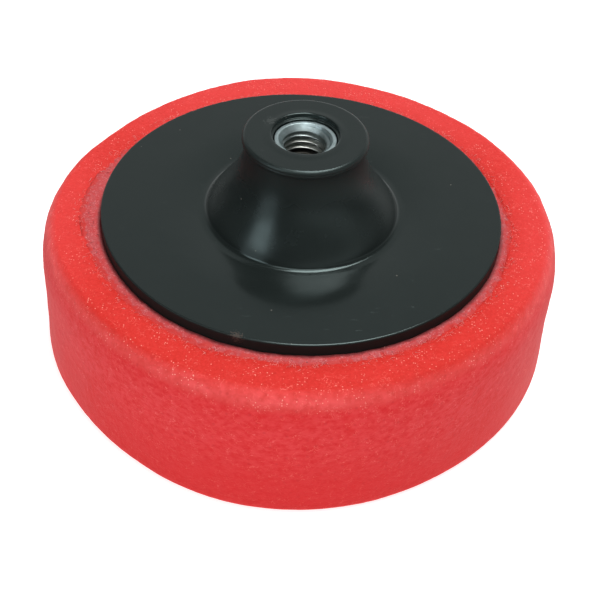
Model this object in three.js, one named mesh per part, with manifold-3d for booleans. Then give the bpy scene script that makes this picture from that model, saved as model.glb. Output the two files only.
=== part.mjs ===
// Foam polishing pad for a rotary polisher. A thick foam disc is glued under a moulded
// backing plate, and the plate's hub holds a steel insert threaded for the spindle.
// Millimetres, +Z up. The origin is the centre of the foam's working face.

import * as THREE from 'three';
import * as BufferGeometryUtils from 'three/addons/utils/BufferGeometryUtils.js';
import Module from 'manifold-3d';

const wasm = await Module();
wasm.setup();

// ---- Driving dimensions ----

const gap = 0.3;                  // between faces of two touching pieces
const overshoot = 1;              // how far a cutter runs past the face it cuts
const roundSegments = 64;         // facets round every turned piece

const foamRadius = 75;            // nominal 150 mm pad, widest at the working face
const foamWorkingRounding = 2.5;
const foamShoulderRadius = 74.4;  // where the side turns into the shoulder
const foamShoulderWidth = 4.6;    // the shoulder is a quarter of an ellipse
const foamShoulderDrop = 13;
const foamTop = 43;               // the foam ring swells up round the glued plate
const foamLip = 42;               // and dips to the glue bead at the plate's rim
const foamLipWidth = 3;

const plateRadius = 57.6;
const plateTop = 46;              // above the working face
const plateThickness = 4.4;
const plateEdgeRounding = 0.5;
const dishRadius = 43;            // inside this the plate's top sinks towards the hub
const dishDepth = 1;

const hubHeight = 25;             // above the plate's top
const hubFootRadius = 27.8;
const neckRadius = 16.4;
const collarRadius = 17.7;
const collarHeight = 2.3;
const collarRounding = 1;
const boreRadius = 7.4;           // clearance for the spindle's end below the insert
const recessRadius = 9.4;
const recessDepth = 1.5;
const recessRounding = 0.5;

const filmThickness = 0.3;
const beadWidth = 2.1;            // glue squeezed out round the plate's rim
const beadHeight = 1.2;

const threadMajorRadius = 7;      // M14 x 2
const threadPitch = 2;
const threadDepth = 1.08;
const threadTurns = 6.75;
const threadRunOut = 2;           // how far below the insert the groove starts
const threadSteps = 32;           // per turn
const insertLength = 13;
const insertCollarRadius = 8.7;
const insertCollarLength = 3;
const insertHexAcrossFlats = 19;
const leadInRadius = 7.9;         // the cone that guides the spindle into the thread
const leadInDepth = 1.9;
const insertChamfer = 0.3;

// ---- Heights and radii that follow from them ----

const plateUnderside = plateTop - plateThickness;
const filmTop = plateUnderside - gap;
const filmBottom = filmTop - filmThickness;
const foamSeatHeight = filmBottom - gap;
const beadInnerRadius = plateRadius + gap;
const beadOuterRadius = beadInnerRadius + beadWidth;
const foamSeatRadius = beadOuterRadius + gap;
const hubTop = plateTop + hubHeight;
const insertTop = hubTop - recessDepth;
const insertBottom = insertTop - insertLength;
const hexTop = insertTop - insertCollarLength;
const threadBottom = insertBottom - threadRunOut;

// ---- Helpers ----

const point = (radius, height) => new THREE.Vector2(radius, height);

// The hub's flank flares like a bell: these two points pull its curve, above the foot and
// below the neck.
const flankLow = point(hubFootRadius - 1.2, plateTop + 3.6);
const flankHigh = point(neckRadius + 1, plateTop + 10);

// Points of an arc, angles in degrees, both ends included. It is round unless a rise, its
// half-height, is given.
function arc(centreRadius, centreHeight, rounding, startAngle, endAngle, steps, rise = rounding) {
  const points = [];
  for (let i = 0; i <= steps; i += 1) {
    const angle = THREE.MathUtils.degToRad(startAngle + (endAngle - startAngle) * i / steps);
    points.push(point(
      centreRadius + rounding * Math.cos(angle),
      centreHeight + rise * Math.sin(angle),
    ));
  }
  return points;
}

// A turned solid about Z. The outline runs anticlockwise, from the axis back to the axis.
function turned(outline, segments = roundSegments) {
  return new THREE.LatheGeometry(outline, segments).rotateX(Math.PI / 2);
}

// A closed geometry as a solid that can be cut and joined.
function toSolid(geometry) {
  const bare = geometry.index ? geometry.toNonIndexed() : geometry.clone();
  bare.deleteAttribute('normal');
  bare.deleteAttribute('uv');
  const merged = BufferGeometryUtils.mergeVertices(bare, 1e-4);
  const corners = merged.index.array;
  const kept = [];
  for (let i = 0; i < corners.length; i += 3) {
    const [a, b, c] = [corners[i], corners[i + 1], corners[i + 2]];
    if (a !== b && b !== c && c !== a) kept.push(a, b, c);
  }
  return new wasm.Manifold(new wasm.Mesh({
    numProp: 3,
    vertProperties: new Float32Array(merged.attributes.position.array),
    triVerts: new Uint32Array(kept),
  }));
}

function toGeometry(solid) {
  const { vertProperties, triVerts } = solid.getMesh();
  const geometry = new THREE.BufferGeometry();
  geometry.setAttribute('position', new THREE.BufferAttribute(vertProperties, 3));
  geometry.setIndex(new THREE.BufferAttribute(triVerts, 1));
  geometry.computeVertexNormals();
  return geometry;
}

function piece(name, geometry, color, roughness, metalness) {
  const material = new THREE.MeshStandardMaterial({ color, roughness, metalness });
  const mesh = new THREE.Mesh(geometry, material);
  mesh.name = name;
  return mesh;
}

// A helical thread groove. Its section is a trapezium, wide at the bore and narrow at the
// root, and it fades out of the metal over the first and last quarter turn.
function threadGroove(bottom, turns) {
  const innerRadius = threadMajorRadius - threadDepth - 0.2;
  const innerHalfWidth = threadPitch * 0.43;
  const rootHalfWidth = threadPitch / 16;
  const steps = turns * threadSteps;
  const fadeSteps = threadSteps / 4;
  const positions = [];
  const indices = [];
  for (let i = 0; i <= steps; i += 1) {
    const angle = 2 * Math.PI * i / threadSteps;
    const height = bottom + threadPitch * i / threadSteps;
    const fade = Math.min(1, i / fadeSteps, (steps - i) / fadeSteps);
    const rootRadius = innerRadius + 0.1 + (threadMajorRadius - innerRadius - 0.1) * fade;
    const section = [
      [innerRadius, -innerHalfWidth],
      [rootRadius, -rootHalfWidth],
      [rootRadius, rootHalfWidth],
      [innerRadius, innerHalfWidth],
    ];
    for (const [radius, rise] of section) {
      positions.push(radius * Math.cos(angle), radius * Math.sin(angle), height + rise);
    }
  }
  for (let i = 0; i < steps; i += 1) {
    for (let side = 0; side < 4; side += 1) {
      const here = 4 * i + side;
      const beside = 4 * i + (side + 1) % 4;
      indices.push(here, beside + 4, beside, here, here + 4, beside + 4);
    }
  }
  const last = 4 * steps;
  indices.push(0, 1, 2, 0, 2, 3);
  indices.push(last, last + 2, last + 1, last, last + 3, last + 2);
  const geometry = new THREE.BufferGeometry();
  geometry.setAttribute('position', new THREE.Float32BufferAttribute(positions, 3));
  geometry.setIndex(indices);
  return geometry;
}

// A hexagonal bar about Z, given across its flats.
function hexagonBar(acrossFlats, bottom, top) {
  const cornerRadius = acrossFlats / Math.sqrt(3);
  return new THREE.CylinderGeometry(cornerRadius, cornerRadius, top - bottom, 6)
    .rotateX(Math.PI / 2)
    .translate(0, 0, (top + bottom) / 2);
}

// ---- Foam disc ----

// A thick disc with a soft shoulder and a shallow seat that the glued plate sits in.
function foamPad() {
  const outline = [
    point(0, 0),
    ...arc(foamRadius - foamWorkingRounding, foamWorkingRounding, foamWorkingRounding, -90, 0, 4),
    ...arc(foamShoulderRadius - foamShoulderWidth, foamTop - foamShoulderDrop,
      foamShoulderWidth, 0, 90, 8, foamShoulderDrop),
    point(foamSeatRadius + foamLipWidth, foamTop - 0.1),
    point(foamSeatRadius, foamLip),
    point(foamSeatRadius, foamSeatHeight),
    point(0, foamSeatHeight),
  ];
  return piece('foam_pad', turned(outline), 0xe0392f, 0.95, 0);
}

// ---- Adhesive ----

// A film over the whole bonded face, with the bead that was squeezed out round the rim.
function adhesiveLayer() {
  const beadTop = filmTop + beadHeight;
  const outline = [
    point(0, filmBottom),
    point(beadOuterRadius - 0.3, filmBottom),
    point(beadOuterRadius, filmTop),
    point(beadOuterRadius, beadTop - 0.6),
    point(beadOuterRadius - 0.7, beadTop - 0.1),
    point(beadInnerRadius + 0.5, beadTop),
    point(beadInnerRadius, beadTop - 0.2),
    point(beadInnerRadius, filmTop),
    point(0, filmTop),
  ];
  return piece('adhesive_layer', turned(outline), 0xe6b8b4, 0.6, 0);
}

// ---- Backing plate ----

// The plate's and hub's outer form: disc, dished top, bell-shaped hub and its collar.
function plateBody() {
  const foot = point(hubFootRadius, plateTop - dishDepth);
  const neck = point(neckRadius, hubTop - collarHeight);
  const flank = new THREE.CubicBezierCurve(foot, flankLow, flankHigh, neck);
  const dish = [];
  for (let i = 0; i < 5; i += 1) {
    const inward = i / 5;
    const radius = dishRadius + (hubFootRadius - dishRadius) * inward;
    dish.push(point(radius, plateTop - dishDepth * inward ** 2));
  }
  const outline = [
    point(0, plateUnderside),
    point(plateRadius, plateUnderside),
    ...arc(plateRadius - plateEdgeRounding, plateTop - plateEdgeRounding,
      plateEdgeRounding, 0, 90, 2),
    ...dish,
    ...flank.getPoints(8),
    point(collarRadius - 0.2, hubTop - collarHeight),
    point(collarRadius, hubTop - collarHeight + 0.2),
    ...arc(collarRadius - collarRounding, hubTop - collarRounding, collarRounding, 0, 90, 2),
    point(0, hubTop),
  ];
  return toSolid(turned(outline));
}

// The seat that the insert is moulded into, with the recess above it and the bore below.
function insertSeat() {
  const collarSeatRadius = insertCollarRadius + gap;
  const outline = [
    point(0, plateUnderside - overshoot),
    point(boreRadius, plateUnderside - overshoot),
    point(boreRadius, insertBottom),
    point(collarSeatRadius, insertBottom),
    point(collarSeatRadius, insertTop),
    point(recessRadius, insertTop),
    point(recessRadius, hubTop - recessRounding),
    point(recessRadius + recessRounding, hubTop),
    point(recessRadius + recessRounding, hubTop + overshoot),
    point(0, hubTop + overshoot),
  ];
  const hexagon = hexagonBar(insertHexAcrossFlats + 2 * gap, insertBottom - gap, hexTop + gap);
  return toSolid(turned(outline)).add(toSolid(hexagon));
}

function backingPlate() {
  const solid = plateBody().subtract(insertSeat());
  return piece('backing_plate', toGeometry(solid), 0x33393a, 0.42, 0);
}

// ---- Spindle insert ----

// A steel nut with a round collar: hexagonal below, so that it can't turn in the hub.
function spindleInsert() {
  const collar = turned([
    point(0, hexTop - overshoot),
    point(insertCollarRadius, hexTop - overshoot),
    point(insertCollarRadius, insertTop - insertChamfer),
    point(insertCollarRadius - insertChamfer, insertTop),
    point(0, insertTop),
  ]);
  const minorRadius = threadMajorRadius - threadDepth;
  const bore = turned([
    point(0, insertBottom - overshoot),
    point(minorRadius + overshoot + 0.6, insertBottom - overshoot),
    point(minorRadius, insertBottom + 0.6),
    point(minorRadius, insertTop - leadInDepth),
    point(leadInRadius, insertTop),
    point(leadInRadius, insertTop + overshoot),
    point(0, insertTop + overshoot),
  ], threadSteps);
  const hexagon = hexagonBar(insertHexAcrossFlats, insertBottom, hexTop);
  const groove = threadGroove(threadBottom, threadTurns);
  const solid = toSolid(collar)
    .add(toSolid(hexagon))
    .subtract(toSolid(bore))
    .subtract(toSolid(groove));
  return piece('spindle_insert', toGeometry(solid), 0xb4bcc0, 0.28, 1);
}

// ---- Assembly ----

const polishingPad = new THREE.Group();
polishingPad.add(foamPad(), adhesiveLayer(), backingPlate(), spindleInsert());

export default polishingPad;
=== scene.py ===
"""Looks of a foam polishing pad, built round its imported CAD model.

Four CAD nodes are replaced by detailed meshes: the foam disc, the glue, the moulded backing
plate and the threaded steel insert. Shapes are worked out in millimetres, with +Z up and the
origin at the centre of the foam's working face, and scaled to metres as each mesh is made.
"""

import math

import bmesh
import bpy
import numpy as np
from mathutils import Matrix, Vector, noise


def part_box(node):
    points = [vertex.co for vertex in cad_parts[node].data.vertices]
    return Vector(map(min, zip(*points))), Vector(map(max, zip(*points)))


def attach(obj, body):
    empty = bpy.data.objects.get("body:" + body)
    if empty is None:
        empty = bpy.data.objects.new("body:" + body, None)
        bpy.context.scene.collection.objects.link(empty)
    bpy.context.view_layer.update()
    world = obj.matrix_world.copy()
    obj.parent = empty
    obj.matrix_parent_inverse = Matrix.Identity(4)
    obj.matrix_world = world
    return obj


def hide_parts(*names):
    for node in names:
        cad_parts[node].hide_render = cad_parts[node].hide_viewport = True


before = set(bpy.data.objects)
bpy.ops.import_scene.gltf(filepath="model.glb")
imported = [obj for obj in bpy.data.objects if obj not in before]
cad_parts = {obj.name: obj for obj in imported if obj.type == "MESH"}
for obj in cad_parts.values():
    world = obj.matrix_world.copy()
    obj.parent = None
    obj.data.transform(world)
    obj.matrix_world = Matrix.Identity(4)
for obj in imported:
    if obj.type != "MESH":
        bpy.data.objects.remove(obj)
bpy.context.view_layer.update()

MM = 0.001


def corners(node):
    """Lowest and highest corner of a CAD node, in millimetres."""
    return [np.array(corner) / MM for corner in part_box(node)]


# ---- Sizes, from the CAD model and from a few dimensions of the detailed shapes ----

foam_high = corners("foam_pad")[1]
glue_low, glue_high = corners("adhesive_layer")
plate_low, plate_high = corners("backing_plate")
insert_low, insert_high = corners("spindle_insert")

FOAM_RADIUS = foam_high[0]
FOAM_TOP = foam_high[2]
FOAM_LIP = FOAM_TOP - 1            # the ring dips towards the glue
SHOULDER_RADIUS = FOAM_RADIUS - 0.6
SHOULDER_WIDTH = 4.6
SHOULDER_DROP = 13
WORKING_ROUNDING = 2.5
FINE_RING = 720                    # points in the finest rings of the foam and the glue

PLATE_RADIUS = plate_high[0]
PLATE_BOTTOM = plate_low[2]
PLATE_TOP = PLATE_BOTTOM + 4.4
HUB_TOP = plate_high[2]
HUB_FOOT = 27.7
DISH_RADIUS = 43
DISH_DEPTH = 1
NECK_RADIUS = 16.4
COLLAR_RADIUS = 17.7
COLLAR_HEIGHT = 2.3
COLLAR_ROUNDING = 1.15
PLATE_EDGE = 0.5                   # rounding of the disc's rim
FOOT_ROUNDING = 1.7
BORE_RADIUS = 7.4                  # the plate's hole below the insert
POCKET_RADIUS = 11.4               # the hollow round the insert's hexagon
LEDGE_ROUNDING = 0.18
PLATE_RING = 288                   # points in a ring of the plate

GAP = 0.3
SEAT_RADIUS = glue_high[0] + GAP
SEAT_HEIGHT = glue_low[2] - GAP

INSERT_TOP = insert_high[2]
INSERT_BOTTOM = insert_low[2]
INSERT_COLLAR = 8.7
INSERT_RING = 144                  # points in a ring of the insert
HEXAGON_FLAT = 9.5                 # half the width across the insert's flats
LEDGE = INSERT_TOP + 0.35          # moulded step round the insert, at the recess's foot
RECESS_SHIFT = 0.45                # the recess isn't quite central in the hub
THREAD_PITCH = 2
THREAD_CREST = 5.92
THREAD_ROOT = 7.0
THREAD_START = 1.0                 # where along its pitch the thread starts
THREAD_ROWS = 24                   # rings of points in a pitch
CONE_MOUTH = 7.6
CONE_SLOPE = 0.95


# ---- Mesh helpers ----

def arc(centre, radii, start, end, steps):
    """Points of an elliptical arc in the half plane (radius, height), angles in degrees."""
    angle = np.radians(np.linspace(start, end, steps + 1))
    return [
        (centre[0] + radii[0] * math.cos(a), centre[1] + radii[1] * math.sin(a))
        for a in angle
    ]


def bezier(a, b, c, d, steps):
    """Points of a cubic curve in the half plane, both ends included."""
    t = np.linspace(0, 1, steps + 1)[:, None]
    a, b, c, d = (np.array(p, float) for p in (a, b, c, d))
    return list((1 - t) ** 3 * a + 3 * (1 - t) ** 2 * t * b + 3 * (1 - t) * t * t * c + t ** 3 * d)


def resampled(outline, step, longest=0.9, support=0.08):
    """The outline with its long stretches cut up, and a support point near each end of them."""
    points = [np.array(outline[0], float)]
    for end in outline[1:]:
        start, end = points[-1], np.array(end, float)
        length = np.linalg.norm(end - start)
        if length > longest:
            inside = np.linspace(0, length, max(2, int(length / step) + 2))[1:-1]
            inside = [support, *inside, length - support]
            points += [start + (end - start) * at / length for at in inside]
        points.append(end)
    return np.array(points)


def build(name, vertices, faces, material, smooth=True):
    """A mesh object from millimetres."""
    mesh = bpy.data.meshes.new(name)
    mesh.from_pydata((np.array(vertices) * MM).tolist(), [], faces)
    mesh.validate()
    mesh.materials.append(material)
    if smooth:
        mesh.shade_smooth()
    made = bpy.data.objects.new(name, mesh)
    bpy.context.scene.collection.objects.link(made)
    return made


def rings_to_faces(counts, closed):
    """Faces between rings of points, where each ring has the next one's count, twice or half."""
    starts = np.concatenate([[0], np.cumsum(counts)])
    faces = []
    pairs = [(i, i + 1) for i in range(len(counts) - 1)]
    if closed:
        pairs.append((len(counts) - 1, 0))
    for low, high in pairs:
        a, b, m, n = starts[low], starts[high], counts[low], counts[high]
        for i in range(min(m, n)):
            j = (i + 1) % min(m, n)
            if m == n:
                faces.append((a + i, a + j, b + j, b + i))
            elif m > n:
                k = 2 * i
                faces.append((a + k, a + k + 1, b + i))
                faces.append((a + k + 1, a + (k + 2) % m, b + j, b + i))
            else:
                k = 2 * i
                faces.append((a + i, b + k + 1, b + k))
                faces.append((a + i, a + j, b + (k + 2) % n, b + k + 1))
    return [tuple(int(v) for v in face) for face in faces]


def spun(outline, counts):
    """Points of an outline spun round Z, with a count of points for each ring."""
    rings = []
    for (radius, height), count in zip(outline, counts):
        a = np.arange(count) * 2 * math.pi / count
        rings.append(np.stack([radius * np.cos(a), radius * np.sin(a), np.full(count, height)], 1))
    return np.concatenate(rings)


def along_normals(made, distance):
    """Moves each vertex of a new mesh along its normal by a distance in millimetres."""
    mesh = made.data
    size = len(mesh.vertices)
    place = np.zeros(size * 3)
    mesh.vertices.foreach_get("co", place)
    normal = np.zeros(size * 3)
    mesh.vertices.foreach_get("normal", normal)
    place = place.reshape(-1, 3)
    normal = normal.reshape(-1, 3)
    shift = np.array([distance(Vector(p / MM)) for p in place])
    place += normal * shift[:, None] * MM
    mesh.vertices.foreach_set("co", place.ravel())
    mesh.update()


def weld(made):
    """Joins vertices that lie on each other, and drops the faces that this closes up."""
    mesh = made.data
    work = bmesh.new()
    work.from_mesh(mesh)
    bmesh.ops.remove_doubles(work, verts=work.verts, dist=1e-4 * MM)
    work.to_mesh(mesh)
    work.free()
    mesh.update()


def place_piece(piece, node):
    """The piece rides on the one body and stands for a node, if given, whose CAD mesh it hides."""
    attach(piece, "root")
    if node:
        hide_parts(node)


# ---- Material helpers ----

def new_material(name):
    """A material with its node tree and its main shader."""
    material = bpy.data.materials.new(name)
    material.use_nodes = True
    return material, material.node_tree, material.node_tree.nodes["Principled BSDF"]


def add(tree, kind, inputs=None, **settings):
    """Adds a node. An input is a value, or the socket that feeds it."""
    made = tree.nodes.new("ShaderNode" + kind)
    for name, value in settings.items():
        setattr(made, name, value)
    for name, value in (inputs or {}).items():
        if isinstance(value, bpy.types.NodeSocket):
            tree.links.new(value, made.inputs[name])
        else:
            made.inputs[name].default_value = value
    return made


def millimetres(tree):
    """The place on the object, in millimetres."""
    place = add(tree, "TexCoord").outputs["Object"]
    return add(tree, "VectorMath", {0: place, "Scale": 1 / MM}, operation="SCALE").outputs[0]


def radius_and_height(tree, place):
    """The distance from the pad's axis and the height above its working face."""
    height = add(tree, "SeparateXYZ", {0: place}).outputs[2]
    flat = add(tree, "VectorMath", {0: place, 1: (1, 1, 0)}, operation="MULTIPLY").outputs[0]
    radius = add(tree, "VectorMath", {0: flat}, operation="LENGTH").outputs["Value"]
    return radius, height


def grain(tree, place, size, detail=2.0, roughness=0.5, distortion=0.0):
    """Noise from 0 to 1 with features of about that size in millimetres."""
    made = add(tree, "TexNoise", {
        "Vector": place,
        "Scale": 1 / size,
        "Detail": detail,
        "Roughness": roughness,
        "Distortion": distortion,
    })
    return made.outputs["Fac"]


def between(tree, value, low, high, to_low=0.0, to_high=1.0):
    """A value mapped smoothly from one range to another, and held at its ends."""
    made = add(tree, "MapRange", {
        "Value": value,
        "From Min": low,
        "From Max": high,
        "To Min": to_low,
        "To Max": to_high,
    }, interpolation_type="SMOOTHSTEP")
    return made.outputs["Result"]


def maths(tree, operation, a, b):
    """One sum on two values."""
    return add(tree, "Math", {0: a, 1: b}, operation=operation).outputs[0]


def blended(tree, share, a, b):
    """Two colours mixed by a share."""
    made = add(tree, "Mix", {"Factor": share}, data_type="RGBA")
    for socket, value in ((made.inputs[6], a), (made.inputs[7], b)):
        if isinstance(value, bpy.types.NodeSocket):
            tree.links.new(value, socket)
        else:
            socket.default_value = value
    return made.outputs[2]


def tinted(tree, mask, strength, colour, tint):
    """A colour with a tint over it where the mask says, and no stronger than given."""
    return blended(tree, maths(tree, "MULTIPLY", mask, strength), colour, tint)


def bumped(tree, height, distance, normal=None):
    """A bump of that height in millimetres, on top of another one if there is one."""
    inputs = {"Height": height, "Distance": distance * MM, "Strength": 1.0}
    if normal:
        inputs["Normal"] = normal
    return add(tree, "Bump", inputs).outputs["Normal"]


def speckles(tree, place, size, share, reach):
    """Sparse round specks: a share of the cells of that size has one."""
    cells = add(tree, "TexVoronoi", {"Vector": place, "Scale": 1 / size, "Randomness": 1.0})
    chosen = add(tree, "SeparateColor", {"Color": cells.outputs["Color"]}).outputs[0]
    spot = between(tree, cells.outputs["Distance"], reach, reach * 0.45)
    return maths(tree, "MULTIPLY", spot, maths(tree, "GREATER_THAN", chosen, 1 - share))


def strands(tree, place, size, width):
    """Thin curly strokes, where a distorted noise passes through its middle value."""
    wavy = grain(tree, place, size, detail=1.0, distortion=0.6)
    distance = maths(tree, "ABSOLUTE", maths(tree, "SUBTRACT", wavy, 0.5), 0)
    stroke = between(tree, distance, width, width * 0.2)
    patches = between(tree, grain(tree, place, size * 1.4, detail=0.0), 0.5, 0.62)
    return maths(tree, "MULTIPLY", stroke, patches)


def mark(tree, place, centre, reach, size):
    """A small ragged mark round a place on the object."""
    distance = add(tree, "VectorMath", {0: place, 1: centre}, operation="DISTANCE")
    wander = between(tree, grain(tree, place, size), 0.3, 0.7, -1.2, 1.2)
    ragged = maths(tree, "ADD", distance.outputs["Value"], wander)
    return between(tree, ragged, reach, reach * 0.4)


def shaded_at_bore_foot(tree, radius, height, colour):
    """A colour with painted shade, near black, at the foot of the hub's bore."""
    foot = maths(tree, "MULTIPLY", between(tree, radius, 9.0, 7.6),
                 between(tree, height, FOAM_LIP - 2.5, FOAM_LIP - 2.0))
    return blended(tree, foot, colour, (0.02, 0.018, 0.016, 1))


# ---- Materials ----

def foam_reds(tree, place, height, foot):
    """Reds of the top ring and of the mottled side, which painted shade deepens towards its foot.
    """
    slow = grain(tree, place, 9.0)
    upright = add(tree, "Mapping", {"Vector": place, "Scale": (1.0, 1.0, 1.5)}).outputs[0]
    mottle = between(tree, grain(tree, upright, 2.1, detail=3.0, roughness=0.6), 0.34, 0.66)
    ring = blended(tree, slow, (0.59, 0.018, 0.011, 1), (0.66, 0.025, 0.015, 1))
    side = blended(tree, mottle, (0.74, 0.012, 0.015, 1), (0.80, 0.042, 0.048, 1))
    # Painted shade: the side's red deepens towards its foot.
    side = tinted(tree, foot, 0.6, side, (0.71, 0.012, 0.013, 1))
    low = between(tree, height, FOAM_TOP - 2.5, FOAM_TOP - 6)
    colour = blended(tree, low, ring, side)
    shade = between(tree, grain(tree, place, 0.8, detail=3.0, roughness=0.7), 0.3, 0.7)
    return tinted(tree, shade, 0.4, colour, (0.80, 0.048, 0.044, 1))


def shoulder_highlight(tree, place, radius, height):
    """Where the foam's shoulder turns over: the patchy reach of a painted highlight."""
    outer = between(tree, radius, SHOULDER_RADIUS - SHOULDER_WIDTH, SHOULDER_RADIUS - 1.2)
    band = maths(tree, "MULTIPLY", outer, between(tree, height, FOAM_TOP - 6, FOAM_TOP - 2))
    patches = between(tree, grain(tree, place, 2.5), 0.25, 0.7, 0.34, 0.76)
    return maths(tree, "MULTIPLY", band, patches)


def foam_cells(tree, place, height, colour):
    """A colour with the foam's small dark pits and torn strands, and painted glints up high."""
    dark = speckles(tree, place, 1.9, 0.3, 0.32)
    colour = tinted(tree, dark, 0.2, colour, (0.50, 0.012, 0.012, 1))
    stroke = strands(tree, place, 1.5, 0.02)
    colour = tinted(tree, stroke, 0.4, colour, (0.95, 0.22, 0.19, 1))
    # Painted glints: pale pink specks in clusters, fading out down the foam's side.
    level = between(tree, height, FOAM_TOP - 9, FOAM_TOP - 0.8)
    cluster = between(tree, grain(tree, place, 5.0, detail=1.0), 0.42, 0.62, 0.15, 1.0)
    painted_glint = maths(tree, "MULTIPLY", speckles(tree, place, 0.6, 0.26, 0.36), cluster)
    painted_glint = maths(tree, "MULTIPLY", painted_glint, level)
    return tinted(tree, painted_glint, 0.7, colour, (1.0, 0.50, 0.42, 1))


def back_and_flank_sheen(tree, place):
    """How far a place is towards the foam's back or flanks, where a paler red is painted sheen."""
    parts = add(tree, "SeparateXYZ", {0: place})
    back = between(tree, parts.outputs[1], 10, 70, 0.0, 0.4)
    flanks = between(tree, maths(tree, "ABSOLUTE", parts.outputs[0], 0), 50, 74, 0.0, 0.3)
    return maths(tree, "MAXIMUM", back, flanks)


def foam_material():
    """Open-cell foam: saturated red, matte, uneven; painted glints, highlight, sheen and shade."""
    material, tree, shader = new_material("red_foam")
    place = millimetres(tree)
    radius, height = radius_and_height(tree, place)
    cells = add(tree, "TexVoronoi", {"Vector": place, "Scale": 1 / 0.75, "Randomness": 1.0})
    pores = between(tree, cells.outputs["Distance"], 0.12, 0.6)
    # Painted shade: how much deeper the side's red is painted towards its foot.
    foot = between(tree, height, 27, 8, 0.0, 0.75)
    colour = foam_reds(tree, place, height, foot)
    band = shoulder_highlight(tree, place, radius, height)
    # Painted highlight: pale pink round the foam's shoulder.
    colour = blended(tree, band, colour, (0.98, 0.125, 0.125, 1))
    colour = foam_cells(tree, place, height, colour)
    # Painted shade at the foot once more, over the cells and the shoulder's highlight.
    colour = tinted(tree, foot, 0.6, colour, (0.71, 0.014, 0.015, 1))
    # Painted sheen: a paler red towards the foam's back and flanks.
    colour = blended(tree, back_and_flank_sheen(tree, place), colour, (0.84, 0.075, 0.078, 1))
    # Painted shade at the foot of the hub's bore goes over the foam's colour.
    tree.links.new(shaded_at_bore_foot(tree, radius, height, colour), shader.inputs["Base Color"])
    shader.inputs["Roughness"].default_value = 0.7
    shader.inputs["Specular IOR Level"].default_value = 0.22
    shader.inputs["Sheen Weight"].default_value = 0.05
    shader.inputs["Sheen Roughness"].default_value = 0.45
    shader.inputs["Sheen Tint"].default_value = (1.0, 0.80, 0.80, 1)
    coarse = bumped(tree, grain(tree, place, 1.2, detail=2.0, roughness=0.5), 0.08)
    tree.links.new(bumped(tree, pores, 0.05, coarse), shader.inputs["Normal"])
    return material


def glue_material():
    """Dried glue full of foam dust: dull red, mottled with pale pink and small dark pits."""
    material, tree, shader = new_material("glue")
    place = millimetres(tree)
    patches = between(tree, grain(tree, place, 1.6, detail=3.0, roughness=0.65), 0.35, 0.65)
    colour = blended(tree, patches, (0.53, 0.032, 0.034, 1), (0.50, 0.062, 0.066, 1))
    pale = between(tree, grain(tree, place, 0.45, detail=1.0), 0.56, 0.7)
    colour = tinted(tree, pale, 0.6, colour, (0.70, 0.20, 0.21, 1))
    pits = speckles(tree, place, 1.0, 0.25, 0.35)
    colour = tinted(tree, pits, 0.6, colour, (0.16, 0.015, 0.02, 1))
    radius, height = radius_and_height(tree, place)
    wander = between(tree, grain(tree, place, 3.0, detail=3.0), 0.3, 0.7, -0.9, 0.9)
    ragged = maths(tree, "ADD", radius, wander)
    pool = between(tree, add(tree, "SeparateXYZ", {0: place}).outputs[0], -54, -59, 0.0, -2.2)
    ragged = maths(tree, "ADD", ragged, pool)
    thin = between(tree, ragged, SEAT_RADIUS - 0.5, SEAT_RADIUS)
    colour = blended(tree, thin, colour, (0.56, 0.022, 0.018, 1))
    # Painted shade: the glue goes dark beside the plate's rim.
    shade = between(tree, radius, PLATE_RADIUS + 1.5, PLATE_RADIUS + 0.3, 0.0, 0.75)
    colour = blended(tree, shade, colour, (0.12, 0.02, 0.022, 1))
    # Painted shade at the foot of the hub's bore goes over the glue's colour.
    tree.links.new(shaded_at_bore_foot(tree, radius, height, colour), shader.inputs["Base Color"])
    shader.inputs["Roughness"].default_value = 0.6
    lumps = grain(tree, place, 0.6, detail=3.0, roughness=0.6)
    tree.links.new(bumped(tree, lumps, 0.2), shader.inputs["Normal"])
    return material


def fibre_material():
    """Torn foam strands with glue on them: pale pink."""
    material, tree, shader = new_material("foam_strand")
    place = millimetres(tree)
    tone = between(tree, grain(tree, place, 1.2), 0.35, 0.65)
    colour = blended(tree, tone, (0.80, 0.13, 0.12, 1), (0.88, 0.42, 0.38, 1))
    tree.links.new(colour, shader.inputs["Base Color"])
    shader.inputs["Roughness"].default_value = 0.7
    return material


def plastic_colour(tree, place):
    """Near black with faint mottling, a little dust, a chip at the rim and a scuff on the hub."""
    tone = grain(tree, place, 14.0, detail=2.0)
    colour = blended(tree, tone, (0.0110, 0.0148, 0.0140, 1), (0.0126, 0.0164, 0.0156, 1))
    dust = speckles(tree, place, 5.5, 0.16, 0.055)
    colour = tinted(tree, dust, 0.7, colour, (0.16, 0.15, 0.13, 1))
    chip = mark(tree, place, (-14.9, -55.6, 46), 1.7, 0.5)
    colour = tinted(tree, chip, 0.8, colour, (0.075, 0.055, 0.045, 1))
    scuff = mark(tree, place, (-10, 5.5, 71), 1.9, 0.8)
    return tinted(tree, scuff, 0.4, colour, (0.060, 0.066, 0.064, 1))


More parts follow.
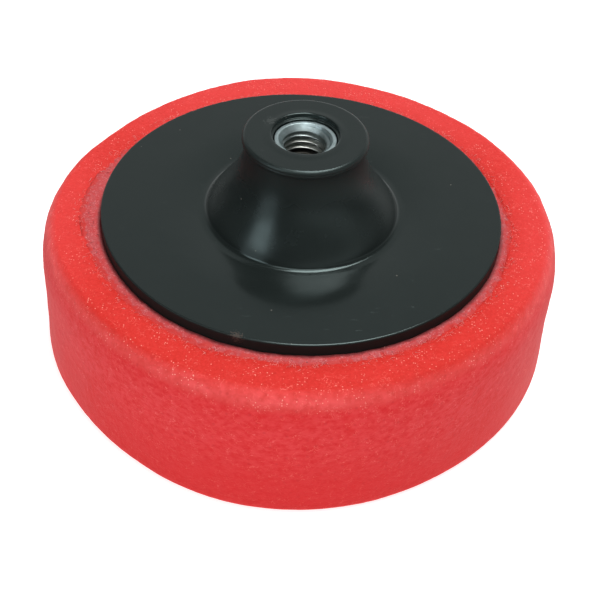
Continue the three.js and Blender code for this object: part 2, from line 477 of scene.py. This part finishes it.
def plastic_roughness(tree, place, radius, height):
    """Satin with wiped patches, rougher up the hub's flank, at its collar and at the rim."""
    flank = maths(tree, "MULTIPLY", between(tree, height, PLATE_TOP, PLATE_TOP + 1.5),
                  between(tree, height, HUB_TOP - 1.5, HUB_TOP - 3))
    wipe = between(tree, grain(tree, place, 6.0, detail=4.0, roughness=0.6), 0.3, 0.7, 0.15, 0.20)
    rough = maths(tree, "ADD", wipe, maths(tree, "MULTIPLY", flank, 0.08))
    rim = between(tree, radius, PLATE_RADIUS - 0.3, PLATE_RADIUS - 0.1, 0.0, 0.4)
    rough = maths(tree, "ADD", rough, rim)
    upper = between(tree, height, PLATE_TOP + 12, HUB_TOP - 3, 0.0, 0.22)
    rough = maths(tree, "ADD", rough, maths(tree, "MULTIPLY", flank, upper))
    outer = between(tree, radius, COLLAR_RADIUS - 1.2, COLLAR_RADIUS - 0.4, 0.0, 0.20)
    top = between(tree, height, HUB_TOP - 2.5, HUB_TOP - 2.2)
    return maths(tree, "ADD", rough, maths(tree, "MULTIPLY", outer, top))


def plastic_material():
    """Satin black moulding with fine scratches."""
    material, tree, shader = new_material("black_plastic")
    place = millimetres(tree)
    radius, height = radius_and_height(tree, place)
    tree.links.new(plastic_colour(tree, place), shader.inputs["Base Color"])
    rough = plastic_roughness(tree, place, radius, height)
    tree.links.new(rough, shader.inputs["Roughness"])
    gloss = between(tree, radius, PLATE_RADIUS - 0.25, PLATE_RADIUS - 0.05, 0.5, 0.16)
    tree.links.new(gloss, shader.inputs["Specular IOR Level"])
    shader.inputs["Specular Tint"].default_value = (0.78, 1.0, 0.98, 1)
    stretch = add(tree, "Mapping", {
        "Vector": place,
        "Rotation": (0, 0, math.radians(28)),
        "Scale": (0.09, 1.0, 1.0),
    }).outputs[0]
    scratch = between(tree, grain(tree, stretch, 0.6, detail=1.0), 0.735, 0.78)
    fine = bumped(tree, grain(tree, place, 0.35, detail=2.0), 0.004)
    tree.links.new(bumped(tree, scratch, 0.01, fine), shader.inputs["Normal"])
    return material


def steel_material():
    """Zinc plate over turned steel, painted shade in the cone, grey grime in the thread's roots."""
    material, tree, shader = new_material("zinc_steel")
    place = millimetres(tree)
    radius, height = radius_and_height(tree, place)
    stain = between(tree, grain(tree, place, 1.8, detail=4.0, roughness=0.6), 0.42, 0.68)
    colour = blended(tree, stain, (0.40, 0.49, 0.50, 1), (0.32, 0.40, 0.40, 1))
    # Painted shade: the lead-in cone is painted darker.
    cone = between(tree, height, INSERT_TOP - 0.7, INSERT_TOP - 1.9, 0.0, 0.5)
    colour = blended(tree, cone, colour, (0.20, 0.23, 0.22, 1))
    # Painted highlight: the thread is painted paler further down, which brightens its crests.
    deep = between(tree, height, INSERT_TOP - 2, INSERT_TOP - 6, 0.0, 0.9)
    colour = blended(tree, deep, colour, (0.56, 0.58, 0.53, 1))
    root = maths(tree, "MULTIPLY", between(tree, height, INSERT_TOP - 1.7, INSERT_TOP - 2.1),
                 between(tree, radius, THREAD_CREST + 0.25, THREAD_CREST + 0.75))
    colour = tinted(tree, root, 0.3, colour, (0.30, 0.32, 0.29, 1))
    dark = between(tree, height, INSERT_TOP - 7.6, INSERT_TOP - 8.2)
    colour = blended(tree, dark, colour, (0.035, 0.034, 0.030, 1))
    tree.links.new(colour, shader.inputs["Base Color"])
    shader.inputs["Metallic"].default_value = 1.0
    rough = between(tree, grain(tree, place, 0.9, detail=3.0), 0.3, 0.7, 0.28, 0.36)
    rough = maths(tree, "ADD", rough, maths(tree, "MULTIPLY", root, 0.25))
    mouth = between(tree, height, INSERT_TOP - 2.0, INSERT_TOP - 1.7, 0.0, 0.10)
    rough = maths(tree, "ADD", rough, mouth)
    tree.links.new(rough, shader.inputs["Roughness"])
    turned = add(tree, "Mapping", {"Vector": place, "Scale": (0.5, 0.5, 4.0)}).outputs[0]
    grooves = bumped(tree, grain(tree, turned, 0.6, detail=2.0), 0.006)
    tree.links.new(grooves, shader.inputs["Normal"])
    return material


# ---- Foam disc ----

def foam_top(radius):
    """Height of the foam's top ring at a radius, before any unevenness."""
    inward = np.clip((SEAT_RADIUS + 5 - radius) / 5, 0, 1)
    return FOAM_TOP - (FOAM_TOP - FOAM_LIP) * inward ** 2


def out_of_round(angle):
    """How much the foam's radius grows at an azimuth, as it isn't quite a true disc."""
    waves = (-0.2 * np.cos(2 * angle) + 0.6 * np.sin(2 * angle) + 0.8 * np.cos(4 * angle)
             + 0.15 * np.sin(4 * angle) - 0.3 * np.cos(5 * angle))
    return 1 + waves / FOAM_RADIUS


def foam_surface(place):
    """Unevenness of the cut foam at a place, in millimetres: slow waves and fine cells."""
    if place.z > SEAT_HEIGHT - 1 and math.hypot(place.x, place.y) < SEAT_RADIUS + 0.2:
        return 0.0
    slow = noise.noise(place / 14) * 0.35
    lumps = noise.noise(place / 3.1) * 0.09
    cells = noise.noise(place / 1.1) * 0.08
    if place.z < 0.5:
        return -0.5 * abs(lumps + cells)
    return (slow + lumps + cells) * min(1.0, 0.3 + place.z / 8)


def ring_count(radius, height):
    """Points in a ring of the foam: the most where it shows, fewer towards the middle."""
    count = FINE_RING
    fewest = 45
    spacing = 1.3
    shows = height > 1e-6 and radius >= SEAT_RADIUS
    while count > fewest and not shows and count / 2 >= radius * 2 * math.pi / spacing:
        count //= 2
    return count


def foam_outline():
    """The foam's section, from the working face's middle round to the seat's middle."""
    side_top = FOAM_TOP - SHOULDER_DROP
    inner = SHOULDER_RADIUS - SHOULDER_WIDTH
    outline = [(r, 0.0) for r in np.linspace(1.2, FOAM_RADIUS - WORKING_ROUNDING, 58)]
    outline += arc((FOAM_RADIUS - WORKING_ROUNDING, WORKING_ROUNDING),
                   (WORKING_ROUNDING, WORKING_ROUNDING), -80, 0, 6)
    outline += [
        (FOAM_RADIUS + (SHOULDER_RADIUS - FOAM_RADIUS) * t, WORKING_ROUNDING
         + (side_top - WORKING_ROUNDING) * t) for t in np.linspace(0, 1, 41)[1:-1]
    ]
    outline += arc((inner, side_top), (SHOULDER_WIDTH, SHOULDER_DROP), 0, 90, 24)
    outline += [(r, foam_top(r)) for r in np.linspace(inner, SEAT_RADIUS, 15)[1:]]
    outline += [(SEAT_RADIUS, FOAM_LIP - 0.6), (SEAT_RADIUS, SEAT_HEIGHT)]
    # The count of points falls by four between 20 and 8, so part of the hidden seat stays open.
    outline += [(r, SEAT_HEIGHT) for r in (56, 40, 20, 8, 2)]
    return outline


def make_foam(material):
    """The foam disc's skin, fine where it shows, a little off true and off centre."""
    off_centre = (0.5, 0.3)
    outline = foam_outline()
    counts = [ring_count(radius, height) for radius, height in outline]
    vertices = spun(outline, counts)
    faces = rings_to_faces(counts, closed=False)
    last = sum(counts[:-1])
    faces.append(tuple(range(counts[0] - 1, -1, -1)))
    faces.append(tuple(range(last, last + counts[-1])))
    angle = np.arctan2(vertices[:, 1], vertices[:, 0])
    outside = np.clip((np.hypot(vertices[:, 0], vertices[:, 1]) - SEAT_RADIUS) / 8, 0, 1)
    growth = 1 + (out_of_round(angle) - 1) * outside
    for axis, shift in enumerate(off_centre):
        vertices[:, axis] = vertices[:, axis] * growth + shift * outside
    foam = build("foam_disc", vertices, faces, material)
    along_normals(foam, foam_surface)
    place_piece(foam, "foam_pad")
    return foam


# ---- Glue ----

def glue_width(angle):
    """How far the squeezed-out glue spreads over the foam at an azimuth."""
    ripple = noise.noise(Vector((math.cos(angle), math.sin(angle), 0.3)) * 9)
    fine = noise.noise(Vector((math.cos(angle), math.sin(angle), 1.7)) * 30)
    widest = math.radians(215)
    left = max(0.0, math.cos(angle - widest)) ** 2
    pool = max(0.0, -math.cos(angle)) ** 12
    return max(0.2, 0.5 + 1.1 * left + 2.2 * pool + 1.1 * ripple + 0.5 * fine)


def make_glue(material):
    """The film under the plate, with an irregular bead that runs out over the foam's lip."""
    steps = 10
    hole = 3
    inner = PLATE_RADIUS + 0.05
    film_top = glue_low[2] + GAP
    rings = [[] for _ in range(steps + 8)]
    for i in range(FINE_RING):
        angle = 2 * math.pi * i / FINE_RING
        edge = SEAT_RADIUS + glue_width(angle)
        crown = 0.55 + 0.35 * noise.noise(Vector((math.cos(angle), math.sin(angle), 5)) * 16)
        section = [(hole, film_top), (40, film_top), (inner - GAP, film_top)]
        for step in range(steps + 1):
            share = step / steps
            radius = inner + (edge - inner) * share
            rise = crown * math.sin(math.pi * min(1, 0.25 + 0.75 * share)) ** 0.8
            section.append((radius, foam_top(max(radius, SEAT_RADIUS)) + rise - 0.15 * share))
        section += [(edge - 0.1, FOAM_LIP - 0.5), (SEAT_RADIUS - 0.1, FOAM_LIP - 0.7),
                    (SEAT_RADIUS - GAP, glue_low[2]), (hole, glue_low[2])]
        for ring, (radius, height) in zip(rings, section):
            ring.append((radius * math.cos(angle), radius * math.sin(angle), height))
    faces = rings_to_faces([FINE_RING] * len(rings), closed=True)
    glue = build("glue_bead", np.concatenate(rings), faces, material)
    along_normals(glue, glue_surface)
    place_piece(glue, "adhesive_layer")
    return glue


def glue_surface(place):
    """Lumps of the dried bead, in millimetres."""
    if math.hypot(place.x, place.y) < PLATE_RADIUS + 0.2 or place.z < FOAM_LIP - 0.4:
        return 0.0
    return noise.noise(place / 1.3) * 0.25 + noise.noise(place / 0.5) * 0.15


def strand(random, sides, joints):
    """Points of one torn strand, in a ring of sides for each joint, that thins and curls."""
    angle = random.uniform(0, 2 * math.pi)
    reach = glue_width(angle) + 4
    radius = PLATE_RADIUS + 0.5 + random.uniform(0, 1) ** 1.3 * reach
    at = np.array([radius * math.cos(angle), radius * math.sin(angle),
                   foam_top(max(radius, SEAT_RADIUS)) + 0.15])
    heading = random.uniform(0, 2 * math.pi)
    turn = random.normal(0, 0.5)
    climb = random.uniform(0.0, 0.5)
    step = random.uniform(0.12, 0.36)
    thick = random.uniform(0.035, 0.075)
    points = []
    for joint in range(joints):
        way = np.array([math.cos(heading), math.sin(heading), 0])
        across = np.array([-way[1], way[0], 0])
        width = thick * (1 - 0.6 * joint / (joints - 1))
        for side in range(sides):
            round_it = 2 * math.pi * side / sides
            points.append(at + width * (across * math.cos(round_it)
                                        + np.array([0, 0, 1]) * math.sin(round_it)))
        at = at + step * (way + np.array([0, 0, climb * math.cos(joint * 0.7)]))
        heading += turn
    return points


def make_fibres(material):
    """Short torn strands that stand out of the glue and the foam beside it."""
    random = np.random.default_rng(7)
    strands_made = 1500
    sides = 3
    joints = 6
    vertices, faces = [], []
    for _ in range(strands_made):
        first = len(vertices)
        vertices += strand(random, sides, joints)
        for joint in range(joints - 1):
            low = first + joint * sides
            for side in range(sides):
                beside = (side + 1) % sides
                faces.append((low + side, low + beside, low + sides + beside, low + sides + side))
        faces.append(tuple(first + side for side in range(sides - 1, -1, -1)))
        tip = first + (joints - 1) * sides
        faces.append(tuple(tip + side for side in range(sides)))
    fibres = build("glue_fibres", vertices, faces, material)
    place_piece(fibres, None)
    return fibres


# ---- Backing plate ----

def fillet(curve, floor, rounding):
    """A rounding from a level floor to a rising curve: its centre, then it and the curve above."""
    for start, end in zip(curve, curve[1:]):
        way = (end - start) / np.linalg.norm(end - start)
        normal = np.array([way[1], -way[0]])
        centre = start + rounding * normal
        if centre[1] >= floor + rounding:
            break
    lean = math.degrees(math.atan2(normal[1], normal[0]))
    above = [point for point in curve if point[1] > start[1] + 0.01]
    return centre, arc(centre, (rounding, rounding), -90, lean - 180, 16) + above


def disc_outline(dish_end):
    """The disc's section, from the bore's foot round the rim and in to the dish's low end."""
    edge = PLATE_EDGE
    outline = [(BORE_RADIUS, PLATE_BOTTOM), (PLATE_RADIUS - edge, PLATE_BOTTOM)]
    outline += arc((PLATE_RADIUS - edge, PLATE_BOTTOM + edge), (edge, edge), -90, 0, 5)
    outline += arc((PLATE_RADIUS - edge, PLATE_TOP - edge), (edge, edge), 0, 90, 8)
    for inward in np.linspace(0, 1, 20)[:-1]:
        radius = DISH_RADIUS + (dish_end - DISH_RADIUS) * inward
        outline.append((radius, PLATE_TOP - DISH_DEPTH * inward ** 2))
    return outline


def collar_outline(collar_foot):
    """The collar's section, from its foot over the hub's top to the recess's rim."""
    outline = arc((COLLAR_RADIUS - 0.35, collar_foot + 0.6), (0.35, 0.6), -90, 35, 8)
    outline += [(COLLAR_RADIUS - 0.2, collar_foot + 1.0), (COLLAR_RADIUS - 0.2, collar_foot + 1.1)]
    outline += arc((COLLAR_RADIUS - 1.2, HUB_TOP - COLLAR_ROUNDING),
                   (COLLAR_ROUNDING, COLLAR_ROUNDING), -5, 90, 16)
    outline += [(12.4, HUB_TOP), (11.6, HUB_TOP + 0.02), (10.7, HUB_TOP + 0.09)]
    return outline + arc((10.0, HUB_TOP - 0.4), (0.5, 0.5), 90, 180, 8)


def seat_outline():
    """The section of the ledge, of the insert's seat and of the bore below it."""
    ledge_edge = INSERT_COLLAR + GAP + LEDGE_ROUNDING
    outline = [(9.5, LEDGE + 0.05), (9.45, LEDGE)]
    outline += arc((ledge_edge, LEDGE - LEDGE_ROUNDING), (LEDGE_ROUNDING, LEDGE_ROUNDING),
                   90, 180, 6)
    return outline + [
        (INSERT_COLLAR + GAP, INSERT_TOP - 2.6),
        (POCKET_RADIUS, INSERT_TOP - 2.8),
        (POCKET_RADIUS, INSERT_BOTTOM - GAP),
        (BORE_RADIUS, INSERT_BOTTOM - GAP),
        (BORE_RADIUS, PLATE_BOTTOM + 0.2),
    ]


def plate_outline():
    """The plate's section, anticlockwise from the bottom of its bore."""
    collar_foot = HUB_TOP - COLLAR_HEIGHT
    dish_height = PLATE_TOP - DISH_DEPTH
    flank = bezier((HUB_FOOT, dish_height), (HUB_FOOT - 1.1, PLATE_TOP + 3.6),
                   (NECK_RADIUS + 1, PLATE_TOP + 10), (NECK_RADIUS, collar_foot), 60)
    foot, hub = fillet(flank, dish_height, FOOT_ROUNDING)
    outline = disc_outline(foot[0]) + hub + collar_outline(collar_foot) + seat_outline()
    return resampled(outline, 1.4)


def make_plate(material):
    """The moulded plate: disc, dished top, bell-shaped hub, and its collar and recess."""
    outline = plate_outline()
    counts = [PLATE_RING] * len(outline)
    faces = rings_to_faces(counts, closed=True)
    vertices = spun(outline, counts)
    reach = np.hypot(vertices[:, 0], vertices[:, 1])
    recess = (vertices[:, 2] > LEDGE - 0.05) & (reach > 9.1) & (reach < 10.6)
    vertices[recess, 1] += RECESS_SHIFT
    plate = build("plate_and_hub", vertices, faces, material)
    place_piece(plate, "backing_plate")
    return plate


# ---- Spindle insert ----

def thread_radius(rise):
    """The bore's radius at a height along the thread's own form, which repeats each pitch."""
    across = abs((rise / THREAD_PITCH) % 1 - 0.5) * 2
    depth = np.clip((across - 0.12) / 0.7, 0, 1)
    worn = 0.5 - 0.5 * math.cos(math.pi * depth)
    return THREAD_ROOT + (THREAD_CREST - THREAD_ROOT) * (0.45 * depth + 0.55 * worn)


def lead_in(height):
    """The bore's least radius near the insert's top, where a cone opens it for the spindle."""
    return max(THREAD_CREST, CONE_MOUTH - CONE_SLOPE * (INSERT_TOP - height))


def hexagon(angle, flat):
    """Radius of a hexagon at an azimuth, with a flat of that half width across facing +X."""
    return flat / math.cos((angle + math.pi / 6) % (math.pi / 3) - math.pi / 6)


def bore_rings():
    """Rings of the threaded bore. Each climbs one pitch a turn, held within the insert."""
    rows = round((INSERT_TOP - INSERT_BOTTOM) / THREAD_PITCH * THREAD_ROWS) + THREAD_ROWS
    rings = []
    for row in range(rows + 1):
        ring = []
        for i in range(INSERT_RING):
            angle = 2 * math.pi * i / INSERT_RING
            lift = THREAD_PITCH * i / INSERT_RING
            height = INSERT_BOTTOM - THREAD_PITCH * (1 - row / THREAD_ROWS) + lift
            height = min(max(height, INSERT_BOTTOM), INSERT_TOP)
            thread = thread_radius(height - INSERT_BOTTOM - lift - THREAD_START)
            radius = max(thread, lead_in(height))
            ring.append((radius * math.cos(angle), radius * math.sin(angle), height))
        rings.append(ring)
    return rings


def outside_rings():
    """Rings of the insert's rim, of its collar and of the hexagon below it, going down."""
    bottom_edge = 7.5
    shoulder = INSERT_TOP - 3
    rim = arc((CONE_MOUTH + 0.15, INSERT_TOP - 0.1), (0.12, 0.1), 150, 90, 3)
    rim += arc((INSERT_COLLAR - 0.2, INSERT_TOP - 0.2), (0.2, 0.2), 90, 0, 5)
    rim += [(INSERT_COLLAR, INSERT_TOP - 0.4), (INSERT_COLLAR, shoulder)]
    flats = [(HEXAGON_FLAT - 0.1, shoulder), (HEXAGON_FLAT, shoulder - 0.1)]
    flats += [(HEXAGON_FLAT, INSERT_BOTTOM + 0.1), (HEXAGON_FLAT - 0.1, INSERT_BOTTOM)]
    angles = np.arange(INSERT_RING) * 2 * math.pi / INSERT_RING
    rings = [([radius] * INSERT_RING, height) for radius, height in rim]
    rings += [([hexagon(a, flat) for a in angles], height) for flat, height in flats]
    rings.append(([bottom_edge] * INSERT_RING, INSERT_BOTTOM))
    return [
        [(r * math.cos(a), r * math.sin(a), height) for r, a in zip(reach, angles)]
        for reach, height in rings
    ]


def insert_faces(count, bore_last):
    """Faces between rings, where a turn of the bore ends one pitch of rings above its start."""
    faces = []
    for row in range(count):
        above = (row + 1) % count
        for i in range(INSERT_RING):
            face = []
            for ring, step in ((row, i), (row, i + 1), (above, i + 1), (above, i)):
                if step == INSERT_RING:
                    step = 0
                    if 0 < ring < bore_last:
                        ring = min(ring + THREAD_ROWS, bore_last)
                face.append(ring * INSERT_RING + step)
            faces.append(tuple(face))
    return faces


def make_insert(material):
    """The steel insert: a threaded bore, and outside it a collar over a hexagon."""
    bore = bore_rings()
    rings = bore + outside_rings()
    faces = insert_faces(len(rings), len(bore) - 1)
    insert = build("steel_insert", np.concatenate(rings), faces, material)
    weld(insert)
    place_piece(insert, "spindle_insert")
    return insert


# ---- Studio ----

CAMERA_PLACE = (1.09, -295.27, 279.59)
CAMERA_PITCH = 42.5                # degrees that it looks down
CAMERA_ROLL = 3.38
CAMERA_LENS = 78
WHITE = (1, 1, 1, 1)
COOL = (0.90, 0.95, 1.0)
LEFT = -141                        # azimuth of the lights on the left


def make_camera():
    """The camera, at the height and distance that frame the pad as seen from the front."""
    data = bpy.data.cameras.new("camera")
    data.sensor_width = 36
    data.lens = CAMERA_LENS
    data.clip_end = 20
    camera = bpy.data.objects.new("camera", data)
    place = Vector(CAMERA_PLACE) * MM
    turn = Matrix.Rotation(math.radians(90 - CAMERA_PITCH), 3, "X")
    roll = Matrix.Rotation(math.radians(CAMERA_ROLL), 3, turn.col[2])
    camera.matrix_world = Matrix.Translation(place) @ (roll @ turn).to_4x4()
    bpy.context.scene.collection.objects.link(camera)
    bpy.context.scene.camera = camera


def make_softbox(name, azimuth, elevation, distance, size, power, colour=(1, 1, 1), turn=0):
    """A rectangular softbox aimed at the hub, from an azimuth and elevation in degrees."""
    aimed_at = Vector((0, 0, 0.05))
    data = bpy.data.lights.new(name, "AREA")
    data.shape = "RECTANGLE"
    data.size, data.size_y = size
    data.energy = power
    data.color = colour
    light = bpy.data.objects.new(name, data)
    a, e = math.radians(azimuth), math.radians(elevation)
    way = Vector((math.cos(e) * math.cos(a), math.cos(e) * math.sin(a), math.sin(e)))
    light.location = way * distance + aimed_at
    aim = Matrix.Rotation(math.radians(turn), 3, way) @ way.to_track_quat("Z", "Y").to_matrix()
    light.rotation_euler = aim.to_euler()
    bpy.context.scene.collection.objects.link(light)


def glowing(name, level):
    """A plain surface that gives off an even light of that level."""
    material, _, shader = new_material(name)
    shader.inputs["Base Color"].default_value = (0.5, 0.5, 0.5, 1)
    shader.inputs["Roughness"].default_value = 0.9
    shader.inputs["Specular IOR Level"].default_value = 0.0
    shader.inputs["Emission Color"].default_value = WHITE
    shader.inputs["Emission Strength"].default_value = level
    return material


def make_floor():
    """A plain pale floor, wide enough to be the backdrop at the camera's angle."""
    half = 4000
    below = -0.05
    sheet = [(-half, -half, below), (half, -half, below), (half, half, below), (-half, half, below)]
    build("studio_floor", sheet, [(0, 1, 2, 3)], glowing("floor", 0.8), smooth=False)


def make_flag():
    """A dim sheet round the pad that only reflections see, as a studio is dark past its table."""
    count = 48
    outline = [(90, 0.5), (3900, 0.5)]
    faces = rings_to_faces([count] * 2, closed=False)
    material, tree, shader = new_material("flag")
    place = millimetres(tree)
    parts = add(tree, "SeparateXYZ", {0: place}).outputs
    radius, _ = radius_and_height(tree, place)
    shader.inputs["Base Color"].default_value = (0, 0, 0, 1)
    shader.inputs["Specular IOR Level"].default_value = 0.0
    shader.inputs["Emission Color"].default_value = WHITE
    near = maths(tree, "MULTIPLY", between(tree, radius, 900, 200, 0.0, 0.18),
                 between(tree, parts[0], -200, -20))
    level = maths(tree, "ADD", near, between(tree, parts[0], -100, 400, 0.06, 0.24))
    tree.links.new(level, shader.inputs["Emission Strength"])
    flag = build("flag", spun(outline, [count] * 2), faces, material, smooth=False)
    flag.visible_camera = False
    flag.visible_diffuse = False
    flag.visible_transmission = False
    flag.visible_shadow = False


def make_world():
    """Soft surroundings: brightest low down behind, dimmer in front, and dimmest on the left."""
    world = bpy.data.worlds.new("studio")
    bpy.context.scene.world = world
    world.use_nodes = True
    tree = world.node_tree
    way = add(tree, "TexCoord").outputs["Generated"]
    parts = add(tree, "SeparateXYZ", {0: way}).outputs
    behind = between(tree, parts[1], 0.35, 0.8)
    high = between(tree, parts[2], 0.30, 0.56, 0.6, 0.42)
    middle = between(tree, maths(tree, "ABSOLUTE", parts[0], 0), 0.55, 0.2)
    horizon = maths(tree, "MULTIPLY", middle, between(tree, parts[2], 0.26, 0.08, 0.0, 0.7))
    right = add(tree, "VectorMath", {0: way, 1: (0.87, -0.5, 0)}, operation="DOT_PRODUCT")
    front = between(tree, right.outputs["Value"], 0.0, 0.9, 0.14, 0.68)
    front = maths(tree, "MULTIPLY", front, between(tree, parts[2], 0.2, 0.56, 1.0, 0.12))
    front = maths(tree, "MULTIPLY", front, between(tree, parts[2], 0.06, 0.32, 0.2, 1.0))
    front = maths(tree, "MULTIPLY", front, between(tree, parts[0], 0.84, 1.0, 1.0, 0.35))
    back = maths(tree, "ADD", high, horizon)
    share = maths(tree, "MULTIPLY", behind, maths(tree, "SUBTRACT", back, front))
    level = maths(tree, "ADD", share, front)
    background = tree.nodes["Background"]
    colour = add(tree, "CombineColor", {0: level, 1: level, 2: level}).outputs[0]
    tree.links.new(colour, background.inputs["Color"])
    background.inputs["Strength"].default_value = 1.0


def make_studio():
    """Camera, floor, surroundings and lights."""
    make_camera()
    make_floor()
    make_flag()
    make_world()
    make_softbox("overhead", 27, 79, 1.2, (0.58, 0.88), 13.8, turn=63)
    make_softbox("left_front", LEFT, 33, 1.0, (0.36, 0.42), 1.65, COOL)
    make_softbox("left_low", LEFT, 8, 1.0, (0.46, 0.32), 0.4, COOL)
    make_softbox("front_fill", -90, 60, 1.3, (0.9, 0.45), 3.4)
    scene = bpy.context.scene
    scene.view_settings.view_transform = "Standard"
    scene.view_settings.look = "None"


# ---- Assembly ----

make_studio()
make_foam(foam_material())
make_glue(glue_material())
make_fibres(fibre_material())
make_plate(plastic_material())
make_insert(steel_material())
